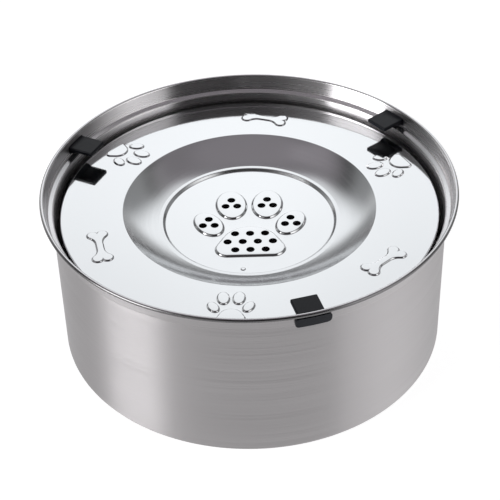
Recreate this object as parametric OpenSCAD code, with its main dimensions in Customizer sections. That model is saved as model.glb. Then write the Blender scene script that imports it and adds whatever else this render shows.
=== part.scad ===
// No-spill pet water bowl: a steel bowl with a floating perforated disc, kept in by three push-in stops.
// Millimetres. +Z is up. The origin is the middle of the footprint, on the surface that the bowl stands on.

/* [Bowl] */
// Outer radius of the straight wall
wall_r = 123.2; // [112:0.1:160]
// Height from the standing surface to the top of the rim
bowl_h = 111.4; // [90:0.1:160]
// Thickness of the bowl's sheet
sheet_t = 0.8; // [0.5:0.1:1.2]
// Outside radius of the corner between base and wall
base_corner = 4; // [3:0.5:12]
// Width of the ring that the base stands on, from the wall inwards
stand_w = 16; // [13:0.5:24]
// How far the base's middle panel is pressed up
panel_lift = 1.5; // [1:0.1:4]

/* [Rim] */
// How far the slanted step carries the wall outwards
step_out = 3.6; // [2:0.1:6]
// Height of the slanted step
step_h = 2.8; // [2:0.1:5]
// Height of the band between the step and the middle of the rim bead
band_h = 7.1; // [6:0.1:12]
// How far the band flares outwards over its height
band_flare = 1.4; // [0.2:0.1:3]
// Radius of the rolled rim bead
bead_r = 1.3; // [1.25:0.05:2]

/* [Float] */
// Water gap between the disc's edge and the straight wall
float_gap = 3.4; // [2:0.1:8]
// Depth of the deck below the top of the rim when the bowl is full
deck_drop = 16.9; // [14:0.1:25]
// Thickness of the deck's sheet
deck_t = 0.6; // [0.4:0.1:1]
// Height of the deck's turned-down edge
lip_h = 3; // [2:0.1:6]
// Width of the deck's flat ring
ring_w = 39.2; // [32:0.1:42]
// Width of the dish's slope
slope_w = 22.4; // [14:0.1:26]
// Depth of the dish's shelf below the deck
shelf_depth = 10.4; // [6:0.1:14]
// How far the slope sags below a straight line from the deck to the shelf
slope_hollow = 1.1; // [0.2:0.1:1.6]
// Width of the flat shelf around the centre plate
shelf_w = 2.4; // [2:0.1:4]
// Height of the riser between the shelf and the centre plate
riser_h = 1.6; // [1.4:0.1:4]
// How far the riser slants inwards over its height
riser_run = 1.6; // [0.4:0.1:2.4]
// Depth of the float pan below the deck
pan_depth = 23; // [20:0.1:34]
// Thickness of the pan's sheet
pan_t = 0.6; // [0.4:0.1:1]
// How far the pan's outer wall leans in
pan_taper = 4; // [0:0.1:10]
// Clearance in the seams between deck and pan
seam_gap = 0.1; // [0.05:0.05:0.2]

/* [Pressed figures] */
// Height of the pressed figures above the sheet
emboss_h = 0.8; // [0.5:0.1:1.4]
// Direction of the first paw on the ring, counted from +X
paw_turn = -97; // [-180:0.5:180]
// Turn of each paw away from the ring's radius
paw_lean = 5.5; // [-15:0.5:15]
// Width of a paw on the ring
paw_w = 28.5; // [22:0.1:30]
// Length of a bone
bone_l = 31.5; // [26:0.5:38]
// Radius of a bone's end lobes
bone_lobe_r = 4; // [3:0.1:4.2]
// Distance of a lobe's centre from the bone's axis
bone_lobe_y = 3; // [2.4:0.1:3.4]
// Width of a bone's straight shaft
bone_waist = 5.6; // [4:0.1:6]
// Radius of the curve between a bone's shaft and its lobes
bone_fillet = 7; // [3:0.5:8]
// Turn of each bone away from the ring's tangent
bone_turn = -11; // [-15:1:15]

/* [Strainer] */
// Width of the perforated paw on the centre plate
strainer_w = 72; // [66:0.5:76]
// Height of the perforated paw above the centre plate
strainer_h = 1.2; // [0.6:0.1:1.5]
// Distance of the perforated paw's middle from the disc's axis, towards the front
strainer_shift = 4; // [0:0.5:8]
// Diameter of the drinking holes
hole_d = 5.2; // [3:0.1:5.4]
// Spacing of the drinking holes in the pad
hole_pitch = 9.4; // [7.5:0.1:10.6]
// Distance of a toe's holes from the toe's middle
toe_hole_r = 4.3; // [3.8:0.1:4.6]
// Diameter of the small pip near the plate's edge
pip_d = 3.4; // [1.5:0.1:4]
// Distance of the pip from the plate's edge
pip_inset = 5.6; // [4:0.1:8]
// Direction of the pip, counted from +X
pip_turn = -95.5; // [-180:0.5:180]

/* [Stops] */
// Direction of the left stop, counted from +X
stop_turn_left = 153; // [140:0.5:170]
// Direction of the right stop, counted from +X
stop_turn_right = 39; // [20:0.5:55]
// Direction of the front stop, counted from +X
stop_turn_front = -74.5; // [-90:0.5:-60]
// Width of a stop's tab and neck
stop_w = 16.2; // [10:0.1:22]
// How far a tab reaches inwards from the band
stop_reach = 17.3; // [12:0.1:24]
// Thickness of a tab
tab_t = 2.8; // [2:0.1:4]
// Height of the neck that fills the slot
neck_h = 4.2; // [4:0.1:5]
// Length of the full-height neck inside the wall
root_l = 3; // [2:0.1:6]
// Distance of a tab's top below the top of the rim
stop_drop = 4; // [3.3:0.1:4.4]
// How far the outer flange stands out past the neck on each side
flange_side = 2.7; // [1.5:0.1:4]
// How far the outer flange reaches below the neck
flange_below = 1.6; // [1:0.1:3]
// Thickness of the outer flange
flange_t = 1.6; // [1:0.1:1.7]
// Corner radius of the outer flange
flange_corner = 2.4; // [1:0.1:3]
// How much wider a slot is than its stop, on each side and below
slot_play = 0.6; // [0:0.1:1.2]
// Corner radius of the slots in the wall
slot_corner = 1.5; // [0.8:0.1:2]
// Corner radius of a tab seen from above
tab_corner = 1.2; // [0.5:0.1:3]
// Bevel along the upper edge of a tab's tip
tab_bevel = 0.8; // [0.3:0.1:1.2]
// Clearance around a stop in its slot and on the wall
stop_gap = 0.3; // [0.2:0.05:0.5]

/* [Feet] */
// Diameter of an anti-slip pad
foot_d = 22; // [14:0.5:30]
// Distance of a pad's edge from the panel's edge
foot_inset = 8; // [5:0.5:14]
// How far the pads stand out below the steel
foot_proud = 0.5; // [0.3:0.1:1]
// Rounding of a pad's lower edge
foot_round = 0.6; // [0.2:0.05:0.8]

/* [Hidden] */
$fn = 96;
ARC_STEPS = 8;
ARC_PITCH = 15;
CURL_STEPS = 16;
CURL_TURN = 250;
PANEL_FORM_R = 2;
STEP_FORM_R = 1.6;
SLOPE_STEPS = 8;
OVAL_STEPS = 32;
DISH_FORM_R = 1.2;
SHELF_FORM_R = 1;
PLATE_FORM_R = 0.8;
EDGE_INNER_R = 0.3;
PAN_CORNER_R = 9;
PAN_COLLAR_R = 6;
FOOT_TURNS = [45, 135, 225, 315];
FIGURE_STEP = 120;
JOIN = 0.05;
PAST = 5;

// Bowl
wall_in = wall_r - sheet_t;
floor_z = foot_proud + sheet_t;
panel_z = floor_z + panel_lift;
panel_r = wall_r - stand_w;
panel_run = 2 * panel_lift;

// Rim
bead_z = bowl_h - bead_r;
band_low = bead_z - band_h;
step_low = band_low - step_h;
band_r = wall_in + step_out;
flare_turn = atan2(band_flare, band_h);
curl_start_z = bead_z + bead_r * sin(flare_turn);
function band_at(z) = band_r + (z - band_low) * tan(flare_turn);
function band_outside_at(z) = band_at(z) + sheet_t / cos(flare_turn);
curl_r = band_at(curl_start_z) + bead_r * cos(flare_turn);

// Floating disc
deck_z = bowl_h - deck_drop;
edge_r = wall_in - float_gap;
edge_round = deck_t + EDGE_INNER_R;
dish_r = edge_r - ring_w;
shelf_r = dish_r - slope_w;
plate_r = shelf_r - shelf_w;
shelf_round = deck_t + EDGE_INNER_R;
shelf_z = deck_z - shelf_depth;
plate_z = shelf_z - riser_h;
ring_mid_r = edge_r - ring_w / 2;
pan_floor_z = deck_z - pan_depth + pan_t;
pan_collar_r = plate_r + shelf_round + seam_gap + pan_t;
pan_wall_r = edge_r - edge_round - seam_gap - pan_t;

// Stops
tab_z = bowl_h - stop_drop;
neck_low = tab_z - neck_h;
flange_low = neck_low - flange_below;
flange_top = bead_z - bead_r - stop_gap;
tip_x = band_at(tab_z) - stop_reach;
root_x = band_at(neck_low) - root_l;

// Feet
foot_h = foot_proud + panel_lift;
foot_x = panel_r - panel_run - foot_inset - foot_d / 2;

// Plane geometry
function unit(v) = v / norm(v);
function left_of(v) = [-v.y, v.x];
function polar(r, turn) = [r * cos(turn), r * sin(turn)];
function spin(v, turn) = [v.x * cos(turn) - v.y * sin(turn), v.x * sin(turn) + v.y * cos(turn)];
function flip(list) = [for (i = [len(list) - 1 : -1 : 0]) list[i]];

// Arc of radius r that rounds corner b of the path a, b, c
function corner_arc(a, b, c, r) =
    let (
        u = unit(a - b),
        v = unit(c - b),
        half = acos(u * v) / 2,
        centre = b + unit(u + v) * r / sin(half),
        start = b + u * r / tan(half) - centre,
        sweep = (left_of(u) * v > 0 ? -1 : 1) * (180 - 2 * half)
    )
    [for (i = [0 : ARC_STEPS]) centre + spin(start, sweep * i / ARC_STEPS)];

// Arc from a to b that sags to the right of its chord by hollow
function hollow_arc(a, b, hollow) =
    let (
        half = norm(b - a) / 2,
        r = (pow(half, 2) + pow(hollow, 2)) / (2 * hollow),
        centre = (a + b) / 2 + left_of(unit(b - a)) * (r - hollow),
        sweep = 2 * asin(half / r)
    )
    [for (i = [0 : SLOPE_STEPS]) centre + spin(a - centre, sweep * i / SLOPE_STEPS)];

// Path through corners given as [x, y, radius]; its two ends stay sharp
function rounded_path(corners) =
    let (p = [for (c = corners) [c[0], c[1]]], last = len(p) - 1)
    concat(
        [p[0]],
        [for (i = [1 : last - 1]) each corner_arc(p[i - 1], p[i], p[i + 1], corners[i][2])],
        [p[last]]
    );

// Path moved sideways by d, to the left of its direction
function beside(path, d) =
    let (last = len(path) - 1)
    [
        for (i = [0 : last])
            let (
                before = max(i, 1),
                after = min(i, last - 1),
                a = unit(path[before] - path[before - 1]),
                b = unit(path[after + 1] - path[after]),
                n = left_of(unit(a + b))
            )
            path[i] + n * d / (n * left_of(a))
    ];

// Points along an arc, about every ARC_PITCH degrees
function arc(centre, r, from, to) =
    let (steps = ceil(abs(to - from) / ARC_PITCH))
    [for (i = [0 : steps]) centre + polar(r, from + (to - from) * i / steps)];

// Direction in which the outer tangent of discs a and b, given as [x, y, radius], touches both
function tangent_turn(a, b) =
    let (along = [b[0] - a[0], b[1] - a[1]])
    atan2(along.y, along.x) - acos((a[2] - b[2]) / norm(along));

// Outline of a tight band around discs that are listed anticlockwise, grown outwards by grow
function band_around(discs, grow) =
    let (n = len(discs))
    [
        for (i = [0 : n - 1])
            let (
                from = tangent_turn(discs[(i + n - 1) % n], discs[i]),
                to = tangent_turn(discs[i], discs[(i + 1) % n]),
                span = (to - from + 720) % 360
            )
            each arc([discs[i][0], discs[i][1]], discs[i][2] + grow, from, from + span)
    ];

// Sheet of thickness t to the right of a path of radius and height, turned about Z
module turned_sheet(path, t) {
    rotate_extrude() polygon(concat(path, flip(beside(path, -t))));
}

module rounded_rect(w, h, r) {
    square([w - 2 * r, h], center = true);
    square([w, h - 2 * r], center = true);
    for (x = [-1, 1], y = [-1, 1]) translate([x * (w / 2 - r), y * (h / 2 - r)]) circle(r = r);
}

// Outline of a bone along X, whose straight shaft runs smoothly into its lobes, grown outwards by grow
function bone_outline(grow) =
    let (
        lobe = [bone_l / 2 - bone_lobe_r, bone_lobe_y],
        bend_y = bone_waist / 2 + bone_fillet,
        bend_x = lobe.x - sqrt(pow(bone_fillet + bone_lobe_r, 2) - pow(bend_y - lobe.y, 2)),
        lobe_r = bone_lobe_r + grow,
        bend_r = bone_fillet - grow,
        meet = atan2(bend_y - lobe.y, bend_x - lobe.x),
        notch = asin(min(1, lobe.y / lobe_r)),
        upper = concat(
            arc(lobe, lobe_r, -notch, meet),
            arc([bend_x, bend_y], bend_r, meet - 180, -90),
            arc([-bend_x, bend_y], bend_r, -90, -meet),
            arc([-lobe.x, lobe.y], lobe_r, 180 - meet, 180 + notch)
        )
    )
    concat(upper, [for (p = upper) -p]);

// Outline of an oval [x, y, half width, half length, turn] at scale w, grown outwards by grow
function oval_outline(oval, w, grow) =
    [
        for (i = [0 : OVAL_STEPS - 1])
            let (
                at = polar(1, 360 * i / OVAL_STEPS),
                rim = [at.x * oval[2], at.y * oval[3]] * w,
                out = unit([at.x / oval[2], at.y / oval[3]])
            )
            [oval[0], oval[1]] * w + spin(rim + out * grow, oval[4])
    ];

// Paw of width 1 with its toes towards +Y: the pad as discs [x, y, radius], the toes as ovals
PAW_PAD = [[-0.195, -0.355, 0.115], [0.195, -0.355, 0.115], [0, -0.305, 0.265]];
PAW_TOES = [for (s = [-1, 1]) each [
    [s * 0.36, 0, 0.126, 0.188, -s * 27],
    [s * 0.16, 0.275, 0.144, 0.215, -s * 5]
]];
PAD_ROWS = [3, 4, 3];
PAD_MIDDLE = -0.27;

module paw(w, grow) {
    polygon(band_around([for (d = PAW_PAD) d * w], grow));
    for (toe = PAW_TOES) polygon(oval_outline(toe, w, grow));
}

// Places a figure on the deck's ring with its +Y towards the middle
module on_ring(turn) {
    rotate(turn + 90) translate([0, -ring_mid_r]) children();
}

// All pressed figures on the ring, grown outwards by grow
module ring_figures(grow) {
    for (i = [0 : 2]) {
        on_ring(paw_turn + FIGURE_STEP * i) rotate(paw_lean) paw(paw_w, grow);
        on_ring(paw_turn + FIGURE_STEP * (i + 0.5)) rotate(bone_turn) polygon(bone_outline(grow));
    }
}

module strainer_figure(grow) {
    translate([0, -strainer_shift]) paw(strainer_w, grow);
}

// Drinking holes: rows in the pad and three in each toe
module strainer_holes() {
    row_step = hole_pitch * sin(60);
    translate([0, -strainer_shift]) {
        for (row = [0 : 2], i = [0 : PAD_ROWS[row] - 1])
            translate([
                (i - (PAD_ROWS[row] - 1) / 2) * hole_pitch,
                PAD_MIDDLE * strainer_w + (row - 1) * row_step
            ]) circle(d = hole_d);
        for (toe = PAW_TOES, i = [0 : 2])
            translate([toe[0], toe[1]] * strainer_w + polar(toe_hole_r, 90 + 120 * i)) circle(d = hole_d);
    }
}

module layer(low, high) {
    translate([0, 0, low]) linear_extrude(high - low) children();
}

module bowl_shell() {
    path = concat(
        rounded_path([
            [0, panel_z, 0],
            [panel_r - panel_run, panel_z, PANEL_FORM_R],
            [panel_r, floor_z, PANEL_FORM_R],
            [wall_in, floor_z, base_corner - sheet_t],
            [wall_in, step_low, STEP_FORM_R],
            [band_r, band_low, STEP_FORM_R],
            [band_at(curl_start_z), curl_start_z, 0]
        ]),
        [for (i = [1 : CURL_STEPS])
            [curl_r, bead_z] + polar(bead_r, 180 - flare_turn - CURL_TURN * i / CURL_STEPS)]
    );
    color("#b4b0b2") difference() {
        turned_sheet(path, sheet_t);
        for (turn = [stop_turn_left, stop_turn_right, stop_turn_front]) rotate(turn) stop_slot();
    }
}

// Slot for a stop's neck through the band on the +X side
module stop_slot() {
    high = tab_z + stop_gap;
    low = neck_low - stop_gap - slot_play;
    translate([wall_in, 0, (high + low) / 2])
        rotate([90, 0, 90])
            linear_extrude(step_out + band_flare + PAST)
                rounded_rect(stop_w + 2 * (stop_gap + slot_play), high - low, slot_corner);
}

module float_deck() {
    slope = hollow_arc([shelf_r, shelf_z], [dish_r, deck_z], slope_hollow);
    path = concat(
        rounded_path([
            [0, plate_z, 0],
            [plate_r - riser_run, plate_z, PLATE_FORM_R],
            [plate_r, shelf_z, shelf_round],
            [shelf_r, shelf_z, SHELF_FORM_R],
            slope[1]
        ]),
        [for (i = [2 : SLOPE_STEPS - 2]) slope[i]],
        rounded_path([
            slope[SLOPE_STEPS - 1],
            [dish_r, deck_z, DISH_FORM_R],
            [edge_r, deck_z, edge_round],
            [edge_r, deck_z - lip_h, 0]
        ])
    );
    color("#e4e6e8") difference() {
        union() {
            turned_sheet(path, deck_t);
            layer(deck_z - JOIN, deck_z + emboss_h) ring_figures(0);
            layer(plate_z - JOIN, plate_z + strainer_h) strainer_figure(0);
            layer(plate_z - JOIN, plate_z + emboss_h / 2)
                translate(polar(plate_r - pip_inset, pip_turn)) circle(d = pip_d);
        }
        layer(deck_z - deck_t - JOIN, deck_z - deck_t + emboss_h) ring_figures(-deck_t);
        layer(plate_z - deck_t - JOIN, plate_z - deck_t + strainer_h) strainer_figure(-deck_t);
        layer(plate_z - deck_t - PAST, plate_z + strainer_h + PAST) strainer_holes();
    }
}

module float_pan() {
    path = rounded_path([
        [pan_collar_r, shelf_z - deck_t, 0],
        [pan_collar_r, pan_floor_z, PAN_COLLAR_R],
        [pan_wall_r - pan_taper, pan_floor_z, PAN_CORNER_R],
        [pan_wall_r, deck_z - lip_h, PAN_CORNER_R],
        [pan_wall_r, deck_z - deck_t, 0]
    ]);
    color("#c6c6c8") turned_sheet(path, pan_t);
}

// One stop: flange outside the band, neck through the slot, tab over the disc's edge
module stop(turn) {
    low = flange_low - PAST;
    high = flange_top + PAST;
    back = stop_gap;
    front = stop_gap + flange_t;
    flange_h = flange_top - flange_low;
    color("#1b1d20") rotate(turn) {
        intersection() {
            translate([tip_x, 0, flange_low + flange_h / 2])
                rotate([90, 0, 90])
                    linear_extrude(stop_reach + 2 * PAST)
                        rounded_rect(stop_w + 2 * flange_side, flange_h, flange_corner);
            rotate_extrude() polygon([
                [band_outside_at(low) + back, low],
                [band_outside_at(low) + front, low],
                [band_outside_at(high) + front, high],
                [band_outside_at(high) + back, high]
            ]);
        }
        stop_tongue();
    }
}

// Neck and tab of a stop along +X, ending inside the flange
module stop_tongue() {
    end_x = band_outside_at(neck_low) + stop_gap + flange_t / 2;
    intersection() {
        translate([tip_x, 0, tab_z - neck_h / 2])
            rotate([90, 0, 90])
                linear_extrude(end_x - tip_x)
                    rounded_rect(stop_w, neck_h, slot_corner - stop_gap);
        translate([0, stop_w, 0]) rotate([90, 0, 0]) linear_extrude(2 * stop_w) polygon([
            [tip_x, tab_z - tab_t],
            [tip_x, tab_z - tab_bevel],
            [tip_x + 2 * tab_bevel, tab_z],
            [end_x, tab_z],
            [end_x, neck_low],
            [root_x, neck_low],
            [root_x - neck_h + tab_t, tab_z - tab_t]
        ]);
        translate([(tip_x + end_x + PAST) / 2, 0, neck_low - JOIN])
            linear_extrude(neck_h + 2 * JOIN)
                rounded_rect(end_x + PAST - tip_x, stop_w, tab_corner);
    }
}

// Anti-slip pad under the base's panel
module foot(turn) {
    r = foot_d / 2;
    profile = concat(
        rounded_path([[0, 0, 0], [r, 0, foot_round], [r, foot_h, 0]]),
        [[0, foot_h]]
    );
    color("#2b2c2e") rotate(turn) translate([foot_x, 0, 0]) rotate_extrude() polygon(profile);
}

bowl_shell();
float_deck();
float_pan();
stop(stop_turn_left);  // stop_left
stop(stop_turn_right);  // stop_right
stop(stop_turn_front);  // stop_front
foot(FOOT_TURNS[0]);  // foot_rear_right
foot(FOOT_TURNS[1]);  // foot_rear_left
foot(FOOT_TURNS[2]);  // foot_front_left
foot(FOOT_TURNS[3]);  // foot_front_right
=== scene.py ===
# Looks of the no-spill pet water bowl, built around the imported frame.
# Metres, +Z up, origin in the middle of the footprint.
# Angles are in degrees, apart from FLARE, which is in radians.
import math
from typing import NamedTuple

import bpy
from mathutils import Matrix, Vector
from mathutils.geometry import delaunay_2d_cdt


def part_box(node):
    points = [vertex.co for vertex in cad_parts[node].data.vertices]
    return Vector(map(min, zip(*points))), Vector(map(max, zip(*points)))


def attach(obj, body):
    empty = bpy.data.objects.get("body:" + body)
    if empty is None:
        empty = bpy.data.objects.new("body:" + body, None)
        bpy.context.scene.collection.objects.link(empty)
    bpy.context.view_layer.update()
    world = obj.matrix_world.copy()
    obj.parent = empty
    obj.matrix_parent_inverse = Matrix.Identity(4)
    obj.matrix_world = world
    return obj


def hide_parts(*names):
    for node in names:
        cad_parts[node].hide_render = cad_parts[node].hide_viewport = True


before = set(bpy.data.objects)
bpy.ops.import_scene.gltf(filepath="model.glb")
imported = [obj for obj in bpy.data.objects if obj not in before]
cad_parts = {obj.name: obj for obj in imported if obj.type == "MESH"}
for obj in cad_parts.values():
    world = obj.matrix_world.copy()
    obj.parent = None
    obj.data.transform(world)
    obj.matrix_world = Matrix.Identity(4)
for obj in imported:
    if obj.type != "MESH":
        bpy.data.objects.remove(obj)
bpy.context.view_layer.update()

MM = 0.001

# Bowl
bowl_low, bowl_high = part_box("bowl_shell")
BOWL_H = bowl_high.z
STEEL_LOW = bowl_low.z
SHEET_T = 0.8 * MM
WALL_IN = 122.4 * MM
BASE_CORNER = 4 * MM
STAND_W = 16 * MM
PANEL_LIFT = 1.5 * MM
PANEL_RUN = 2 * PANEL_LIFT
PANEL_FORM_R = 2 * MM
FLOOR_Z = STEEL_LOW + SHEET_T
PANEL_Z = FLOOR_Z + PANEL_LIFT
PANEL_R = WALL_IN + SHEET_T - STAND_W

# Rim; its step is flatter than in the solids, so that it catches the light like a ledge
STEP_OUT = 3.6 * MM
STEP_H = 1.5 * MM
STEP_FORM_R = 1.6 * MM
BAND_H = 8.4 * MM
BAND_FLARE = 1.4 * MM
BEAD_R = 1.3 * MM
CURL_TURN = 250
# Past this turn the curl's outer flank gets dark steel, painted shade; before it the crest gets lighter
# steel, painted highlight
CREST_TURN = 112
BEAD_Z = BOWL_H - BEAD_R
BAND_LOW = BEAD_Z - BAND_H
STEP_LOW = BAND_LOW - STEP_H
BAND_R = WALL_IN + STEP_OUT
FLARE = math.atan2(BAND_FLARE, BAND_H)

# Floating disc
deck_low, deck_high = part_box("float_deck")
EMBOSS_H = 0.8 * MM
DECK_T = 0.6 * MM
EDGE_R = deck_high.x
DECK_Z = deck_high.z - EMBOSS_H
PLATE_Z = deck_low.z + DECK_T
RING_W = 39.2 * MM
SLOPE_W = 22.4 * MM
SHELF_W = 2.4 * MM
RISER_H = 1.6 * MM
RISER_RUN = 1.6 * MM
LIP_H = 3 * MM
SLOPE_HOLLOW = 1.1 * MM
DISH_FORM_R = 1.2 * MM
SHELF_FORM_R = 1 * MM
PLATE_FORM_R = 0.8 * MM
EDGE_FORM_R = 0.9 * MM
DISH_R = EDGE_R - RING_W
SHELF_R = DISH_R - SLOPE_W
PLATE_R = SHELF_R - SHELF_W
SHELF_Z = PLATE_Z + RISER_H

# Pressed figures
RING_MID_R = EDGE_R - RING_W / 2
PAW_TURN = -97
PAW_LEAN = 5.5
PAW_W = 28.5 * MM
BONE_L = 31.5 * MM
BONE_LOBE_R = 4 * MM
BONE_LOBE_Y = 3 * MM
BONE_WAIST = 5.6 * MM
BONE_FILLET = 7 * MM
BONE_TURN = -11
FIGURE_COUNT = 3
FIGURE_STEP = 360 / FIGURE_COUNT
PRESS_W = 1.2 * MM
PRESS_STEPS = 8

# Strainer
STRAINER_W = 72 * MM
STRAINER_H = 1.2 * MM
STRAINER_SHIFT = 4 * MM
STRAINER_PRESS_W = 1.6 * MM
HOLE_R = 2.6 * MM
HOLE_PITCH = 9.4 * MM
TOE_HOLE_R = 4.3 * MM
TOE_HOLES = 3
PIP_R = 1.7 * MM
PIP_H = 0.4 * MM
PIP_PRESS_W = 0.7 * MM
PIP_INSET = 5.6 * MM
PIP_TURN = -95.5

# Stops
STOP_TURNS = {"left": 153, "right": 39, "front": -74.5}
STOP_W = 16.2 * MM
STOP_REACH = 17.3 * MM
TAB_T = 2.8 * MM
NECK_H = 4.2 * MM
ROOT_L = 3 * MM
STOP_DROP = 4 * MM
STOP_GAP = 0.3 * MM
SLOT_PLAY = 0.6 * MM
SLOT_CORNER = 1.5 * MM
SLOT_CUT = 10 * MM
FLANGE_SIDE = 2.7 * MM
FLANGE_BELOW = 1.6 * MM
FLANGE_T = 1.6 * MM
FLANGE_CORNER = 2.4 * MM
TAB_SOFT = 0.8 * MM
FLANGE_SOFT = 0.4 * MM
TAB_Z = BOWL_H - STOP_DROP
NECK_LOW = TAB_Z - NECK_H
FLANGE_LOW = NECK_LOW - FLANGE_BELOW
FLANGE_TOP = BEAD_Z - BEAD_R - STOP_GAP

# Mesh fineness
TURN_STEPS = 576
HOLE_STEPS = 32
ARC_STEP = 7
BONE_LOBE_STEPS = 28
OVAL_STEPS = 64
SLOPE_STEPS = 28
FLANGE_COLUMNS = 24
FLANGE_CORNER_ROWS = 8
SOFT_STEPS = 4
SOFT_DEG = 30
SHARP_DEG = 38
CDT_CLOSE = 1e-7

# Material slots of the bowl and of the deck; the bowl's step and its rim's crest carry painted highlight
# as lighter steel, and the rim's outer flank carries painted shade as dark steel
INSIDE, STEP_PAINTED_HIGHLIGHT, CREST_PAINTED_HIGHLIGHT, FLANK_PAINTED_SHADE, OUTSIDE = range(5)
MIRROR, SATIN = range(2)


# Plane curves
def polar(r, turn):
    return Vector((r * math.cos(math.radians(turn)), r * math.sin(math.radians(turn))))


def arc(centre, r, start, end):
    """Points along an arc, about every ARC_STEP degrees."""
    steps = max(2, math.ceil(abs(end - start) / ARC_STEP))
    return [Vector(centre) + polar(r, start + (end - start) * i / steps) for i in range(steps + 1)]


def hollow_arc(start, end, hollow):
    """Arc from start to end that sags to the right of its chord by hollow."""
    start, end = Vector(start), Vector(end)
    chord = end - start
    half = chord.length / 2
    r = (half ** 2 + hollow ** 2) / (2 * hollow)
    centre = (start + end) / 2 + chord.orthogonal().normalized() * (r - hollow)
    sweep = 2 * math.asin(half / r)
    turns = [sweep * i / SLOPE_STEPS for i in range(SLOPE_STEPS + 1)]
    return [centre + Matrix.Rotation(turn, 2) @ (start - centre) for turn in turns]


def corner_arc(a, b, c, r):
    """Arc of radius r that rounds corner b of the path a, b, c."""
    u = (a - b).normalized()
    v = (c - b).normalized()
    half = math.acos(u.dot(v)) / 2
    centre = b + (u + v).normalized() * r / math.sin(half)
    start = b + u * r / math.tan(half) - centre
    sweep = (-1 if u.cross(v) > 0 else 1) * (math.pi - 2 * half)
    steps = max(2, math.ceil(math.degrees(abs(sweep)) / ARC_STEP))
    return [centre + Matrix.Rotation(sweep * i / steps, 2) @ start for i in range(steps + 1)]


def rounded_path(corners):
    """Path through corners given as (x, y, radius); its two ends stay sharp."""
    points = [Vector(c[:2]) for c in corners]
    path = [points[0]]
    for i in range(1, len(points) - 1):
        path += corner_arc(points[i - 1], points[i], points[i + 1], corners[i][2])
    return path + [points[-1]]


def beside(path, d):
    """Path moved sideways by d, to the left of its direction."""
    moved = []
    last = len(path) - 1
    for i, point in enumerate(path):
        before, after = max(i, 1), min(i, last - 1)
        a = (path[before] - path[before - 1]).normalized()
        b = (path[after + 1] - path[after]).normalized()
        n = (a + b).normalized().orthogonal()
        moved.append(point + n * d / n.dot(a.orthogonal()))
    return moved


def tangent_turn(a, b):
    """Direction in which the outer tangent of discs a and b, given as (x, y, radius), touches both."""
    along = Vector(b[:2]) - Vector(a[:2])
    return math.degrees(math.atan2(along.y, along.x) - math.acos((a[2] - b[2]) / along.length))


def band_around(discs, grow):
    """Outline of a tight band around discs that are listed anticlockwise, grown outwards by grow."""
    outline = []
    for i, disc in enumerate(discs):
        start = tangent_turn(discs[i - 1], disc)
        span = (tangent_turn(disc, discs[(i + 1) % len(discs)]) - start) % 360
        outline += arc(disc[:2], disc[2] + grow, start, start + span)
    return outline


def bone_outline(grow):
    """Outline of a bone along X, its straight shaft filleted to its lobes, grown outwards by grow."""
    lobe = Vector((BONE_L / 2 - BONE_LOBE_R, BONE_LOBE_Y))
    bend_y = BONE_WAIST / 2 + BONE_FILLET
    bend_x = lobe.x - math.sqrt((BONE_FILLET + BONE_LOBE_R) ** 2 - (bend_y - lobe.y) ** 2)
    lobe_r = BONE_LOBE_R + grow
    meet = math.degrees(math.atan2(bend_y - lobe.y, bend_x - lobe.x))
    notch = math.degrees(math.asin(min(1, lobe.y / lobe_r)))
    half = [
        lobe + polar(lobe_r, -notch + (meet + notch) * i / BONE_LOBE_STEPS)
        for i in range(BONE_LOBE_STEPS + 1)
    ]
    half += arc((bend_x, bend_y), BONE_FILLET - grow, meet - 180, -90)[1:]
    upper = half + [Vector((-p.x, p.y)) for p in reversed(half)]
    return upper + [-p for p in upper]


def inside(point, outline):
    """Whether a point lies inside a closed outline."""
    crossings = 0
    for a, b in zip(outline, outline[1:] + outline[:1]):
        if (a.y > point.y) != (b.y > point.y):
            crossings += point.x < a.x + (b.x - a.x) * (point.y - a.y) / (b.y - a.y)
    return crossings % 2 == 1


def oval_outline(oval, w, grow):
    """Outline of an oval (x, y, half width, half length, turn) at scale w, grown outwards by grow."""
    x, y, half_w, half_l, turn = oval
    spin = Matrix.Rotation(math.radians(turn), 2)
    outline = []
    for i in range(OVAL_STEPS):
        at = polar(1, 360 * i / OVAL_STEPS)
        rim = Vector((at.x * half_w, at.y * half_l)) * w
        out = Vector((at.x / half_w, at.y / half_l)).normalized()
        outline.append(Vector((x, y)) * w + spin @ (rim + out * grow))
    return outline


# Paw of width 1 with its toes towards +Y: the pad as discs (x, y, radius), the toes as ovals
PAW_PAD = [(-0.195, -0.355, 0.115), (0.195, -0.355, 0.115), (0, -0.305, 0.265)]
PAW_TOES = [
    toe
    for s in (-1, 1)
    for toe in ((s * 0.36, 0, 0.126, 0.188, -s * 27), (s * 0.16, 0.275, 0.144, 0.215, -s * 5))
]
PAD_ROWS = (3, 4, 3)
PAD_MIDDLE = -0.27


def paw_outlines(w):
    """Outlines of a paw's pad and toes, each as a function of how far it is grown outwards."""
    pad = [(x * w, y * w, r * w) for x, y, r in PAW_PAD]
    toes = [lambda g, toe=toe: oval_outline(toe, w, g) for toe in PAW_TOES]
    return [lambda g: band_around(pad, g)] + toes


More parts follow.
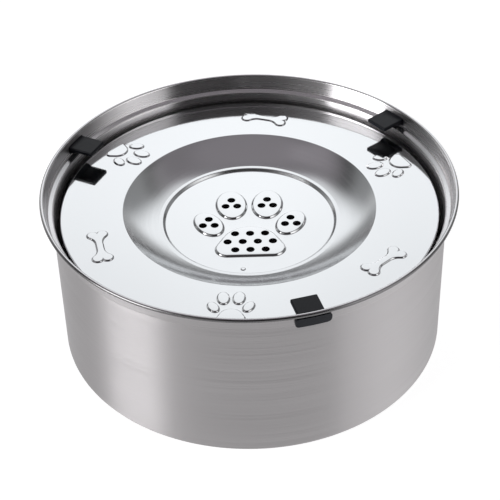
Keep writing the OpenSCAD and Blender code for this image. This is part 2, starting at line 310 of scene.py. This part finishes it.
# Meshes
class Sheet:
    """Collects the loops and faces of an open sheet, seen from its upper side."""

    def __init__(self):
        self.verts = []
        self.faces = []
        self.slots = []

    def loop(self, points, z):
        first = len(self.verts)
        self.verts += [(p.x, p.y, z) for p in points]
        return list(range(first, len(self.verts)))

    def ring(self, r, z):
        return self.loop([polar(r, 360 * i / TURN_STEPS) for i in range(TURN_STEPS)], z)

    def bridge(self, outer, inner, slot=MIRROR):
        for i, start in enumerate(outer):
            j = (i + 1) % len(outer)
            self.faces.append((start, outer[j], inner[j], inner[i]))
            self.slots.append(slot)

    def fill(self, outer, holes):
        """Flat triangles between an outer loop and the loops of its holes."""
        loops = [outer] + holes
        index = [i for loop in loops for i in loop]
        owner = [k for k, loop in enumerate(loops) for i in loop]
        flat = [Vector(self.verts[i][:2]) for i in index]
        edges = []
        for k in range(len(loops)):
            own = [i for i, o in enumerate(owner) if o == k]
            edges += zip(own, own[1:] + own[:1])
        made = delaunay_2d_cdt(flat, edges, [], 1, CDT_CLOSE, True)
        outlines = [[Vector(self.verts[i][:2]) for i in loop] for loop in loops]
        for triangle in made[2]:
            tri = [made[3][i][0] for i in triangle]
            owners = {owner[i] for i in tri}
            middle = sum((flat[i] for i in tri), Vector((0, 0))) / 3
            if len(owners) == 1 and inside(middle, outlines[owner[tri[0]]]) == (owner[tri[0]] > 0):
                continue
            self.faces.append(tuple(index[i] for i in tri))
            self.slots.append(MIRROR)

    def press(self, outline, place, z, height, width=PRESS_W):
        """Raises a figure by height with soft edges; returns its foot loop and its top loop."""
        loops = []
        for i in range(PRESS_STEPS + 1):
            t = i / PRESS_STEPS
            rise = t * t * (3 - 2 * t)
            loops.append(self.loop([place(p) for p in outline(-width * t)], z + height * rise))
        for outer, inner in zip(loops, loops[1:]):
            self.bridge(outer, inner)
        return loops[0], loops[-1]


def new_piece(name, verts, faces, materials, face_slots=None):
    mesh = bpy.data.meshes.new(name)
    mesh.from_pydata([tuple(v) for v in verts], [], faces)
    piece = bpy.data.objects.new(name, mesh)
    bpy.context.scene.collection.objects.link(piece)
    for material in materials:
        mesh.materials.append(material)
    if face_slots:
        mesh.polygons.foreach_set("material_index", face_slots)
    return piece


def bake(piece):
    """Applies the piece's modifiers to its mesh."""
    graph = bpy.context.evaluated_depsgraph_get()
    evaluated = piece.evaluated_get(graph)
    mesh = bpy.data.meshes.new_from_object(evaluated, preserve_all_data_layers=True, depsgraph=graph)
    piece.modifiers.clear()
    old = piece.data
    piece.data = mesh
    bpy.data.meshes.remove(old)
    mesh.name = piece.name


def smooth(piece):
    """Smooth shading with crisp edges, where large faces keep their own normals."""
    piece.data.shade_smooth()
    piece.data.set_sharp_from_angle(angle=math.radians(SHARP_DEG))
    modifier = piece.modifiers.new("weighted", "WEIGHTED_NORMAL")
    modifier.keep_sharp = True
    modifier.weight = 100
    bake(piece)


def turned_solid(name, outline, materials, slots):
    """Solid turned about Z from an outline with both ends on the axis and a material slot per stretch."""
    verts = [(0, 0, outline[0].y)]
    faces = []
    face_slots = []
    for point in outline[1:-1]:
        verts += [(*polar(point.x, 360 * i / TURN_STEPS), point.y) for i in range(TURN_STEPS)]
    verts.append((0, 0, outline[-1].y))
    rings = len(outline) - 2
    for i in range(TURN_STEPS):
        j = (i + 1) % TURN_STEPS
        faces.append((0, 1 + i, 1 + j))
        face_slots.append(slots[0])
        for k in range(rings - 1):
            a, b = 1 + k * TURN_STEPS, 1 + (k + 1) * TURN_STEPS
            faces.append((a + i, b + i, b + j, a + j))
            face_slots.append(slots[k + 1])
        last = 1 + (rings - 1) * TURN_STEPS
        faces.append((last + i, len(verts) - 1, last + j))
        face_slots.append(slots[-1])
    return new_piece(name, verts, faces, materials, face_slots)


def dress(piece, body, slot, *nodes):
    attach(piece, body)
    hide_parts(*nodes)


# Bowl
def band_at(z):
    return BAND_R + (z - BAND_LOW) * math.tan(FLARE)


def band_outside_at(z):
    return band_at(z) + SHEET_T / math.cos(FLARE)


def slot_cutter(turn):
    """Block with rounded corners that cuts a stop's slot through the band."""
    high = TAB_Z + STOP_GAP
    low = NECK_LOW - STOP_GAP - SLOT_PLAY
    half_w = STOP_W / 2 + STOP_GAP + SLOT_PLAY
    half_h = (high - low) / 2
    outline = []
    for x, y, start in ((1, 1, 0), (-1, 1, 90), (-1, -1, 180), (1, -1, 270)):
        centre = (x * (half_w - SLOT_CORNER), y * (half_h - SLOT_CORNER))
        outline += arc(centre, SLOT_CORNER, start, start + 90)
    n = len(outline)
    middle = (high + low) / 2
    spin = Matrix.Rotation(math.radians(turn), 3, "Z")
    verts = [spin @ Vector((x, p.x, middle + p.y)) for x in (WALL_IN, BAND_R + SLOT_CUT) for p in outline]
    faces = [tuple(range(n - 1, -1, -1)), tuple(range(n, 2 * n))]
    faces += [(i, (i + 1) % n, n + (i + 1) % n, n + i) for i in range(n)]
    return new_piece("cutter", verts, faces, [])


def make_bowl(materials):
    """The drawn sheet with its slots; its materials are listed in the order of the material slots."""
    curl_z = BEAD_Z + BEAD_R * math.sin(FLARE)
    curl_r = band_at(curl_z) + BEAD_R * math.cos(FLARE)
    path = rounded_path([
        (0, PANEL_Z, 0),
        (PANEL_R - PANEL_RUN, PANEL_Z, PANEL_FORM_R),
        (PANEL_R, FLOOR_Z, PANEL_FORM_R),
        (WALL_IN, FLOOR_Z, BASE_CORNER - SHEET_T),
        (WALL_IN, STEP_LOW, STEP_FORM_R),
        (BAND_R, BAND_LOW, STEP_FORM_R),
        (band_at(curl_z), curl_z, 0),
    ])
    # The step's faces get a lighter copy of the inside steel, a painted highlight that brightens the light
    # stripe the step mirrors
    slots = [STEP_PAINTED_HIGHLIGHT if STEP_LOW < (a.y + b.y) / 2 < BAND_LOW else INSIDE for a, b in zip(path, path[1:])]
    start = 180 - math.degrees(FLARE)
    # The curl's crest gets lighter steel, a painted highlight, and its outer flank dark steel, painted
    # shade
    for slot, first, last in ((CREST_PAINTED_HIGHLIGHT, 0, CREST_TURN), (FLANK_PAINTED_SHADE, CREST_TURN, CURL_TURN)):
        curl = arc((curl_r, BEAD_Z), BEAD_R, start - first, start - last)[1:]
        path += curl
        slots += [slot] * len(curl)
    slots += [OUTSIDE] * len(path)
    outline = path + beside(path, -SHEET_T)[::-1]
    bowl = turned_solid("bowl_shell_visual", outline, materials, slots)
    for turn in STOP_TURNS.values():
        cutter = slot_cutter(turn)
        cut = bowl.modifiers.new("slot", "BOOLEAN")
        cut.operation = "DIFFERENCE"
        cut.solver = "EXACT"
        cut.object = cutter
        bake(bowl)
        bpy.data.objects.remove(cutter)
    smooth(bowl)
    return bowl


# Floating disc
def on_ring(turn, tilt):
    """Placing function for a figure on the deck's ring, with its +Y towards the middle."""
    spin = Matrix.Rotation(math.radians(turn + 90), 2)
    lean = Matrix.Rotation(math.radians(tilt), 2)
    return lambda p: spin @ (lean @ p + Vector((0, -RING_MID_R)))


def ring_figures(sheet):
    """Presses paws and bones into the ring; returns their foot loops."""
    feet = []
    for i in range(FIGURE_COUNT):
        place = on_ring(PAW_TURN + FIGURE_STEP * i, PAW_LEAN)
        figures = [(outline, place) for outline in paw_outlines(PAW_W)]
        figures.append((bone_outline, on_ring(PAW_TURN + FIGURE_STEP * (i + 0.5), BONE_TURN)))
        for outline, place in figures:
            foot, top = sheet.press(outline, place, DECK_Z, EMBOSS_H)
            sheet.fill(top, [])
            feet.append(foot)
    return feet


def strainer_holes():
    """Centres of the drinking holes by pad and toes; the pad's holes stand in equal triangles."""
    row_step = HOLE_PITCH * math.sin(math.radians(60))
    middle_row = (len(PAD_ROWS) - 1) / 2
    middle_y = PAD_MIDDLE * STRAINER_W
    pad = [
        Vector(((i - (count - 1) / 2) * HOLE_PITCH, middle_y + (row - middle_row) * row_step))
        for row, count in enumerate(PAD_ROWS)
        for i in range(count)
    ]
    around = [polar(TOE_HOLE_R, 90 + 360 * i / TOE_HOLES) for i in range(TOE_HOLES)]
    toes = [[Vector(toe[:2]) * STRAINER_W + hole for hole in around] for toe in PAW_TOES]
    return [pad] + toes


def strainer(sheet):
    """Presses the perforated paw and the pip into the centre plate; returns their foot loops."""
    def place(p):
        return p + Vector((0, -STRAINER_SHIFT))

    feet = []
    for outline, centres in zip(paw_outlines(STRAINER_W), strainer_holes()):
        foot, top = sheet.press(outline, place, PLATE_Z, STRAINER_H, STRAINER_PRESS_W)
        holes = []
        for centre in centres:
            rim = [place(centre) + polar(HOLE_R, 360 * i / HOLE_STEPS) for i in range(HOLE_STEPS)]
            holes.append(sheet.loop(rim, PLATE_Z + STRAINER_H))
        sheet.fill(top, holes)
        feet.append(foot)
    pip = polar(PLATE_R - PIP_INSET, PIP_TURN)
    foot, top = sheet.press(
        lambda g: [polar(PIP_R + g, 360 * i / HOLE_STEPS) for i in range(HOLE_STEPS)],
        lambda p: pip + p,
        PLATE_Z,
        PIP_H,
        PIP_PRESS_W,
    )
    sheet.fill(top, [])
    feet.append(foot)
    return feet


def make_deck(materials):
    """The pressed sheet; its materials are listed in the order of the material slots."""
    sheet = Sheet()
    slope = hollow_arc((SHELF_R, SHELF_Z), (DISH_R, DECK_Z), SLOPE_HOLLOW)
    dish = rounded_path([
        (0, PLATE_Z, 0),
        (PLATE_R - RISER_RUN, PLATE_Z, PLATE_FORM_R),
        (PLATE_R, SHELF_Z, EDGE_FORM_R),
        (SHELF_R, SHELF_Z, SHELF_FORM_R),
        (*slope[1], 0),
    ])[1:-1]
    dish += slope[1:-1]
    dish += rounded_path([(*slope[-2], 0), (DISH_R, DECK_Z, DISH_FORM_R), (EDGE_R, DECK_Z, 0)])[1:-1]
    edge = rounded_path([
        (DISH_R, DECK_Z, 0),
        (EDGE_R, DECK_Z, EDGE_FORM_R),
        (EDGE_R, DECK_Z - LIP_H, 0),
    ])[1:]
    dish_rings = [sheet.ring(p.x, p.y) for p in dish]
    edge_rings = [sheet.ring(p.x, p.y) for p in edge]
    for i in range(len(dish) - 1):
        in_dish = (dish[i].x + dish[i + 1].x) / 2 < DISH_R
        sheet.bridge(dish_rings[i + 1], dish_rings[i], SATIN if in_dish else MIRROR)
    for inner, outer in zip(edge_rings, edge_rings[1:]):
        sheet.bridge(outer, inner)
    sheet.fill(edge_rings[0], [dish_rings[-1]] + ring_figures(sheet))
    sheet.fill(dish_rings[0], strainer(sheet))
    deck = new_piece("float_deck_visual", sheet.verts, sheet.faces, materials, sheet.slots)
    skin = deck.modifiers.new("skin", "SOLIDIFY")
    skin.thickness = DECK_T
    skin.offset = -1
    skin.use_even_offset = True
    bake(deck)
    smooth(deck)
    return deck


# Stops
def soften(piece, width):
    """Rounds the piece's sharp edges."""
    bevel = piece.modifiers.new("soft", "BEVEL")
    bevel.limit_method = "ANGLE"
    bevel.angle_limit = math.radians(SOFT_DEG)
    bevel.width = width
    bevel.segments = SOFT_STEPS
    bake(piece)


def tongue_shape():
    """Neck and tab along +X, ending inside the flange."""
    tip = band_at(TAB_Z) - STOP_REACH
    end = band_outside_at(NECK_LOW) + STOP_GAP + FLANGE_T / 2
    root = band_at(NECK_LOW) - ROOT_L
    side = [
        (tip, TAB_Z - TAB_T),
        (root - NECK_H + TAB_T, TAB_Z - TAB_T),
        (root, NECK_LOW),
        (end, NECK_LOW),
        (end, TAB_Z),
        (tip, TAB_Z),
    ]
    n = len(side)
    verts = [(x, y, z) for y in (-STOP_W / 2, STOP_W / 2) for x, z in side]
    faces = [tuple(range(n)), tuple(range(2 * n - 1, n - 1, -1))]
    faces += [((i + 1) % n, i, n + i, n + (i + 1) % n) for i in range(n)]
    return verts, faces


def flange_shape():
    """Plate with rounded corners that follows the outside of the band."""
    half_w = STOP_W / 2 + FLANGE_SIDE
    r = FLANGE_CORNER
    rows = []
    for i in range(FLANGE_CORNER_ROWS + 1):
        turn = 90 * i / FLANGE_CORNER_ROWS
        inset = polar(r, turn)
        rows.append((FLANGE_LOW + r - inset.x, half_w - r + inset.y))
    rows += [(FLANGE_TOP + FLANGE_LOW - z, w) for z, w in reversed(rows)]
    verts = []
    faces = []
    columns = FLANGE_COLUMNS + 1
    for depth in (STOP_GAP, STOP_GAP + FLANGE_T):
        for z, w in rows:
            for k in range(columns):
                y = w * (2 * k / FLANGE_COLUMNS - 1)
                verts.append((math.sqrt((band_outside_at(z) + depth) ** 2 - y ** 2), y, z))
    layer = len(rows) * columns
    for i in range(len(rows) - 1):
        for k in range(FLANGE_COLUMNS):
            a, b = i * columns + k, (i + 1) * columns + k
            faces.append((a, b, b + 1, a + 1))
            faces.append((layer + a, layer + a + 1, layer + b + 1, layer + b))
    border = list(range(columns))
    border += [i * columns + FLANGE_COLUMNS for i in range(1, len(rows))]
    border += [(len(rows) - 1) * columns + k for k in range(FLANGE_COLUMNS - 1, -1, -1)]
    border += [i * columns for i in range(len(rows) - 2, 0, -1)]
    for a, b in zip(border, border[1:] + border[:1]):
        faces.append((a, b, layer + b, layer + a))
    return verts, faces


def make_stop(side, material):
    turn = Matrix.Rotation(math.radians(STOP_TURNS[side]), 4, "Z")
    shapes = []
    for shape, width in ((tongue_shape(), TAB_SOFT), (flange_shape(), FLANGE_SOFT)):
        part = new_piece(f"stop_{side}_part", *shape, [material])
        soften(part, width)
        part.data.transform(turn)
        shapes.append(part)
    tongue, flange = shapes
    join = flange.modifiers.new("join", "BOOLEAN")
    join.operation = "UNION"
    join.solver = "EXACT"
    join.object = tongue
    bake(flange)
    bpy.data.objects.remove(tongue)
    flange.name = f"stop_{side}_visual"
    smooth(flange)
    return flange


# Materials
NOISE_LOW = 0.3
NOISE_HIGH = 0.7
ACROSS_LINES = 0.25
GRAIN_TINT = 1.5
GRAIN_ROUGH = 0.06
GRAIN_DEPTH = 0.05 * MM


class Lines(NamedTuple):
    """Fine lines turned into a sheet: their noise's scale across and along them, and their depth."""
    across: float
    along: float
    depth: float


def new_material(name):
    material = bpy.data.materials.new(name)
    material.use_nodes = True
    return material, material.node_tree.nodes, material.node_tree.links


def turned_lines(nodes, links, lines):
    """Noise drawn out into fine lines around the Z axis."""
    place = nodes.new("ShaderNodeTexCoord")
    flat = nodes.new("ShaderNodeVectorMath")
    flat.operation = "MULTIPLY"
    flat.inputs[1].default_value = (1, 1, 0)
    links.new(place.outputs["Object"], flat.inputs[0])
    radius = nodes.new("ShaderNodeVectorMath")
    radius.operation = "LENGTH"
    links.new(flat.outputs["Vector"], radius.inputs[0])
    split = nodes.new("ShaderNodeSeparateXYZ")
    links.new(place.outputs["Object"], split.inputs[0])
    across = nodes.new("ShaderNodeMath")
    across.operation = "ADD"
    links.new(radius.outputs["Value"], across.inputs[0])
    links.new(split.outputs["Z"], across.inputs[1])
    join = nodes.new("ShaderNodeCombineXYZ")
    links.new(split.outputs["X"], join.inputs["X"])
    links.new(split.outputs["Y"], join.inputs["Y"])
    links.new(across.outputs[0], join.inputs["Z"])
    stretch = nodes.new("ShaderNodeVectorMath")
    stretch.operation = "MULTIPLY"
    stretch.inputs[1].default_value = (lines.along, lines.along, lines.across)
    links.new(join.outputs[0], stretch.inputs[0])
    noise = nodes.new("ShaderNodeTexNoise")
    noise.inputs["Scale"].default_value = 1
    noise.inputs["Detail"].default_value = 2
    noise.inputs["Roughness"].default_value = 0.5
    links.new(stretch.outputs["Vector"], noise.inputs["Vector"])
    return noise.outputs["Fac"]


def spread(nodes, links, source, low, high):
    """Maps noise values to a range."""
    band = nodes.new("ShaderNodeMapRange")
    band.inputs["From Min"].default_value = NOISE_LOW
    band.inputs["From Max"].default_value = NOISE_HIGH
    band.inputs["To Min"].default_value = low
    band.inputs["To Max"].default_value = high
    links.new(source, band.inputs["Value"])
    return band.outputs["Result"]


def steel(name, color, rough, brushed, lines):
    """Stainless steel with fine turned lines; brushed draws its highlights out across the lines."""
    material, nodes, links = new_material(name)
    shader = nodes["Principled BSDF"]
    shader.inputs["Base Color"].default_value = (*color, 1)
    shader.inputs["Metallic"].default_value = 1
    shader.inputs["Anisotropic"].default_value = brushed
    shader.inputs["Anisotropic Rotation"].default_value = ACROSS_LINES
    height = turned_lines(nodes, links, lines)
    links.new(spread(nodes, links, height, *rough), shader.inputs["Roughness"])
    bump = nodes.new("ShaderNodeBump")
    bump.inputs["Strength"].default_value = 1
    bump.inputs["Distance"].default_value = lines.depth
    links.new(height, bump.inputs["Height"])
    links.new(bump.outputs["Normal"], shader.inputs["Normal"])
    tangent = nodes.new("ShaderNodeTangent")
    tangent.direction_type = "RADIAL"
    tangent.axis = "Z"
    links.new(tangent.outputs["Tangent"], shader.inputs["Tangent"])
    return material


def rubber(name, color, rough, grain):
    """Moulded black rubber with a fine grain."""
    material, nodes, links = new_material(name)
    shader = nodes["Principled BSDF"]
    place = nodes.new("ShaderNodeTexCoord")
    noise = nodes.new("ShaderNodeTexNoise")
    noise.inputs["Scale"].default_value = grain
    noise.inputs["Detail"].default_value = 3
    links.new(place.outputs["Object"], noise.inputs["Vector"])
    tint = nodes.new("ShaderNodeMix")
    tint.data_type = "RGBA"
    tint.inputs["A"].default_value = (*color, 1)
    tint.inputs["B"].default_value = (*[c * GRAIN_TINT for c in color], 1)
    links.new(noise.outputs["Fac"], tint.inputs["Factor"])
    links.new(tint.outputs["Result"], shader.inputs["Base Color"])
    shader.inputs["Specular IOR Level"].default_value = 0.2
    shine = spread(nodes, links, noise.outputs["Fac"], rough - GRAIN_ROUGH, rough + GRAIN_ROUGH)
    links.new(shine, shader.inputs["Roughness"])
    bump = nodes.new("ShaderNodeBump")
    bump.inputs["Strength"].default_value = 0.3
    bump.inputs["Distance"].default_value = GRAIN_DEPTH
    links.new(noise.outputs["Fac"], bump.inputs["Height"])
    links.new(bump.outputs["Normal"], shader.inputs["Normal"])
    return material


# Studio
VIEW_ELEVATION = 38.3
VIEW_DISTANCE = 0.9326
VIEW_ROLL = -1.5
VIEW_AIM = Vector((-0.31 * MM, 0, 58.3 * MM))
LENS_MM = 104.06
SENSOR_MM = 36
FLOOR_HALF = 12
FLOOR_GREY = 0.35
FLOOR_GLOW = 0.9
BACKDROP_H = 8
BACKDROP_STEPS = 96


def make_camera():
    data = bpy.data.cameras.new("camera")
    data.sensor_width = SENSOR_MM
    data.lens = LENS_MM
    camera = bpy.data.objects.new("camera", data)
    bpy.context.scene.collection.objects.link(camera)
    back = Vector((0, -math.cos(math.radians(VIEW_ELEVATION)), math.sin(math.radians(VIEW_ELEVATION))))
    right = Vector((1, 0, 0))
    up = back.cross(right)
    roll = Matrix.Rotation(math.radians(VIEW_ROLL), 3, back)
    axes = Matrix((roll @ right, roll @ up, back)).transposed().to_4x4()
    axes.translation = VIEW_AIM + back * VIEW_DISTANCE
    camera.matrix_world = axes
    bpy.context.scene.camera = camera


def pale_paint():
    material, nodes, _ = new_material("floor_paint")
    shader = nodes["Principled BSDF"]
    shader.inputs["Base Color"].default_value = (FLOOR_GREY, FLOOR_GREY, FLOOR_GREY, 1)
    shader.inputs["Roughness"].default_value = 0.9
    shader.inputs["Specular IOR Level"].default_value = 0
    shader.inputs["Emission Color"].default_value = (1, 1, 1, 1)
    shader.inputs["Emission Strength"].default_value = FLOOR_GLOW
    return material


def make_floor(paint):
    corners = [(x * FLOOR_HALF, y * FLOOR_HALF, 0) for x, y in ((-1, -1), (1, -1), (1, 1), (-1, 1))]
    floor = new_piece("studio_floor", corners, [(0, 1, 2, 3)], [paint])
    floor.visible_glossy = False


def make_backdrop(paint):
    """Pale wall around the floor, for low views; only the camera sees it, so it changes no light."""
    n = BACKDROP_STEPS
    verts = [(*polar(FLOOR_HALF, 360 * i / n), z) for z in (0, BACKDROP_H) for i in range(n)]
    faces = [((i + 1) % n, i, n + i, n + (i + 1) % n) for i in range(n)]
    backdrop = new_piece("studio_backdrop", verts, faces, [paint])
    backdrop.visible_diffuse = False
    backdrop.visible_glossy = False
    backdrop.visible_transmission = False
    backdrop.visible_shadow = False


class Panel(NamedTuple):
    """Soft light panel far around the bowl; its azimuth is counted from the front to the right."""
    azimuth: float
    half_width: float
    soft_left: float
    soft_right: float
    low: float
    high: float
    soft_ends: float
    radiance: float
    tint: tuple = (1, 1, 1)


COOL = (0.98, 1, 1.02)
WARM = (1.06, 0.97, 1.06)
ROOM_GLOW = 0.04
PANELS = [
    # Lit backdrop, which the deck mirrors, with its brighter middle and the dimmer wall around it
    Panel(180, 19, 16, 16, 22, 50, 10, 0.83, COOL),
    Panel(180, 0, 10, 10, 37, 39, 12, 0.1, COOL),
    Panel(180, 60, 30, 30, -5, 33, 12, 0.22, COOL),
    # Large softbox on the left with its spill, and a weaker one on the right
    Panel(-65, 15, 3, 2, -5, 34, 5, 5),
    Panel(-60, 10, 30, 45, -5, 45, 8, 0.3),
    Panel(54, 8, 2, 45, -5, 45, 8, 1.2),
    # Dim patches beside the backdrop, which the dish's slopes mirror
    Panel(-136, 8, 12, 14, -5, 18, 10, 0.3),
    Panel(160, 8, 12, 12, -5, 14, 8, 0.12),
    Panel(132, 8, 18, 18, 40, 48, 8, 0.09),
    # Ceiling, which reaches lower at the back than above the camera
    Panel(0, 180, 0, 0, 72, 90, 10, 0.18, WARM),
    Panel(180, 100, 40, 40, 52, 62, 10, 0.14, WARM),
    Panel(-114, 12, 22, 22, 58, 66, 10, 0.08, WARM),
    # White table, lit a little more on the left and on the right
    Panel(0, 180, 0, 0, -90, -6, 6, 0.62),
    Panel(-70, 6, 30, 26, -90, -6, 6, 0.05),
    Panel(100, 6, 42, 38, -90, -6, 6, 0.3),
]


def make_world():
    world = bpy.data.worlds.new("studio")
    bpy.context.scene.world = world
    world.use_nodes = True
    nodes, links = world.node_tree.nodes, world.node_tree.links

    def calculate(operation, *values):
        node = nodes.new("ShaderNodeMath")
        node.operation = operation
        for socket, value in zip(node.inputs, values):
            if isinstance(value, (int, float)):
                socket.default_value = value
            else:
                links.new(value, socket)
        return node.outputs[0]

    def ramp(value, start, end):
        node = nodes.new("ShaderNodeMapRange")
        node.interpolation_type = "SMOOTHSTEP"
        node.inputs["From Min"].default_value = start
        node.inputs["From Max"].default_value = end
        links.new(value, node.inputs["Value"])
        return node.outputs["Result"]

    place = nodes.new("ShaderNodeTexCoord")
    split = nodes.new("ShaderNodeSeparateXYZ")
    links.new(place.outputs["Generated"], split.inputs[0])
    front = calculate("MULTIPLY", split.outputs["Y"], -1)
    azimuth = calculate("DEGREES", calculate("ARCTAN2", split.outputs["X"], front))
    elevation = calculate("DEGREES", calculate("ARCSINE", split.outputs["Z"]))
    light = nodes.new("ShaderNodeVectorMath")
    light.inputs[0].default_value = (ROOM_GLOW, ROOM_GLOW, ROOM_GLOW)
    for panel in PANELS:
        low, high, half = panel.low, panel.high, panel.half_width
        glow = calculate("MULTIPLY", panel.radiance, ramp(elevation, low - panel.soft_ends, low))
        glow = calculate("MULTIPLY", glow, ramp(elevation, high + panel.soft_ends, high))
        if half < 180:
            off = calculate("WRAP", calculate("SUBTRACT", azimuth, panel.azimuth), 180, -180)
            glow = calculate("MULTIPLY", glow, ramp(off, -half - panel.soft_left, -half))
            glow = calculate("MULTIPLY", glow, ramp(off, half + panel.soft_right, half))
        tinted = nodes.new("ShaderNodeVectorMath")
        tinted.operation = "SCALE"
        tinted.inputs[0].default_value = panel.tint
        links.new(glow, tinted.inputs["Scale"])
        brighter = nodes.new("ShaderNodeVectorMath")
        links.new(light.outputs["Vector"], brighter.inputs[0])
        links.new(tinted.outputs["Vector"], brighter.inputs[1])
        light = brighter
    links.new(light.outputs["Vector"], nodes["Background"].inputs["Color"])


def make_studio():
    make_camera()
    paint = pale_paint()
    make_floor(paint)
    make_backdrop(paint)
    make_world()
    bpy.context.scene.view_settings.view_transform = "Standard"


# Object
make_studio()
DRAWN = Lines(900, 2, 0.0015 * MM)
ROLLED = Lines(1600, 5, 0.001 * MM)
BRUSHED = Lines(1600, 5, 0.004 * MM)
POLISHED = Lines(1200, 6, 0.0001 * MM)
PLAIN = Lines(900, 5, 0.004 * MM)
BOWL_STEELS = {
    INSIDE: steel("bowl_steel_inside", (0.62, 0.6, 0.61), rough=(0.24, 0.32), brushed=0.96, lines=DRAWN),
    # Lighter copy of the inside steel on the step: painted highlight
    STEP_PAINTED_HIGHLIGHT: steel("bowl_steel_step_painted_highlight", (0.84, 0.83, 0.84), rough=(0.2, 0.28), brushed=0.9, lines=DRAWN),
    # Lighter and dark copies of the rolled steel: painted highlight on the crest, painted shade on the
    # flank
    CREST_PAINTED_HIGHLIGHT: steel("bowl_steel_crest_painted_highlight", (0.74, 0.73, 0.74), rough=(0.12, 0.18), brushed=0, lines=ROLLED),
    FLANK_PAINTED_SHADE: steel("bowl_steel_flank_painted_shade", (0.22, 0.215, 0.22), rough=(0.18, 0.26), brushed=0, lines=ROLLED),
    OUTSIDE: steel("bowl_steel_outside", (0.56, 0.54, 0.55), rough=(0.3, 0.4), brushed=0.9, lines=BRUSHED),
}
DECK_COLOR = (0.8, 0.81, 0.82)
DECK_STEELS = {
    MIRROR: steel("deck_steel", DECK_COLOR, rough=(0.05, 0.08), brushed=0, lines=POLISHED),
    SATIN: steel("deck_steel_dish", DECK_COLOR, rough=(0.16, 0.22), brushed=0, lines=POLISHED),
}
pan_steel = steel("pan_steel", (0.6, 0.6, 0.61), rough=(0.25, 0.4), brushed=0.6, lines=PLAIN)
stop_rubber = rubber("stop_rubber", (0.005, 0.006, 0.009), rough=0.34, grain=1500)
foot_rubber = rubber("foot_rubber", (0.03, 0.03, 0.032), rough=0.7, grain=1200)

dress(make_bowl(BOWL_STEELS.values()), "bowl", "bowl_steel", "bowl_shell")
dress(make_deck(DECK_STEELS.values()), "float", "deck_steel", "float_deck")
for side in STOP_TURNS:
    dress(make_stop(side, stop_rubber), f"{side}_stop", "stop_rubber", f"stop_{side}")
for name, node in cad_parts.items():
    if name == "float_pan" or name.startswith("foot_"):
        node.data.materials.clear()
        node.data.materials.append(pan_steel if name == "float_pan" else foot_rubber)
